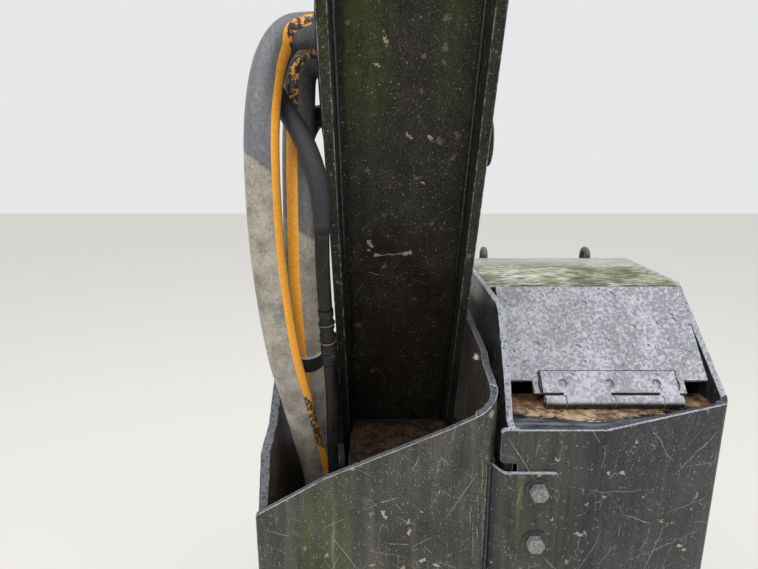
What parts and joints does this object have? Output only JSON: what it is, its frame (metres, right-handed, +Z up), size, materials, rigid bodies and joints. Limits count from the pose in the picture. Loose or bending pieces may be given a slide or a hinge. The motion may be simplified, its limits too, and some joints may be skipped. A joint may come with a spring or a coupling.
{
  "type": "loader lift tower",
  "caption": "Rear lift tower of a tracked loader: upright link in a plate pocket, hydraulic hoses beside it, and an outboard housing with a hinged sloping lid.",
  "frame": {"origin": "on the underside of the weld foot, below the middle plane of the lift link", "axes": "+X outboard, +Y to the front of the machine, +Z up"},
  "size_m": [0.607, 0.5864, 1.3609],
  "materials": {
    "painted_frame": "black paint, scratched and wet",
    "painted_link": "black paint, dusty with light scuffs",
    "painted_box": "black paint, scratched, worn at the edges",
    "painted_top": "faded paint under green algae",
    "painted_lid": "grey-black paint with water drops",
    "rusty_plate": "black paint under rust and silt",
    "weathered_steel": "painted hinge, worn and lightly rusted",
    "bare_steel": "greased bare steel",
    "zinc_bolts": "dull zinc",
    "zinc_fittings": "yellow-grey zinc",
    "rubber": "moulded rubber",
    "hose_rubber": "dusty hose cover with a plain orange stripe",
    "hose_sleeve": "braided sleeve",
    "coupling_plastic": "ribbed black plastic",
    "cap_plastic": "moulded black plastic"
  },
  "bodies": {
    "tower": {"foot_plate": "painted_frame", "inboard_wall": "painted_frame", "wrap_plate": "painted_frame", "front_plate": "painted_frame", "pocket_floor": "painted_frame", "pivot_pin": "bare_steel", "pin_flag": "painted_frame", "box_shell": "painted_box", "box_inboard_wall": "painted_box", "box_front_plate": "painted_box", "box_floor": "painted_box", "box_top_plate": "painted_top", "box_spacers": "painted_frame", "trough_plate": "rusty_plate", "fixed_hinge_leaf": "weathered_steel", "hinge_pin": "bare_steel", "fixing_strip": "painted_box", "strip_bolts": "zinc_bolts", "filler_shelf": "painted_box", "filler_neck": "painted_box", "filler_cap": "cap_plastic", "staple_loops": "painted_frame", "hose_bracket": "painted_frame", "hose_fittings": "zinc_fittings", "hose_main": "hose_rubber", "hose_second": "hose_rubber", "hose_third": "hose_rubber", "hose_sleeved": "hose_sleeve", "hose_bare": "hose_rubber", "hose_lower": "hose_rubber", "sleeve_coupling": "coupling_plastic"},
    "link": {"link_side_inboard": "painted_link", "link_side_outboard": "painted_link", "link_web": "painted_link", "link_front_plate": "painted_link", "link_lower_hub": "painted_link", "link_upper_hub": "painted_link", "hose_grommet": "rubber"},
    "lid": {"lid_plate": "painted_lid", "lid_hinge_leaf": "weathered_steel"}
  },
  "joints": [
    {"name": "link_swing", "type": "hinge", "parent": "tower", "child": "link", "pos_m": [0, 0.145, 0.44], "axis": [-1, 0, 0], "range_deg": [0, 34]},
    {"name": "lid_hinge", "type": "hinge", "parent": "tower", "child": "lid", "pos_m": [0.27, -0.17123, 0.73138], "axis": [1, 0, 0], "range_deg": [0, 120]}
  ]
}
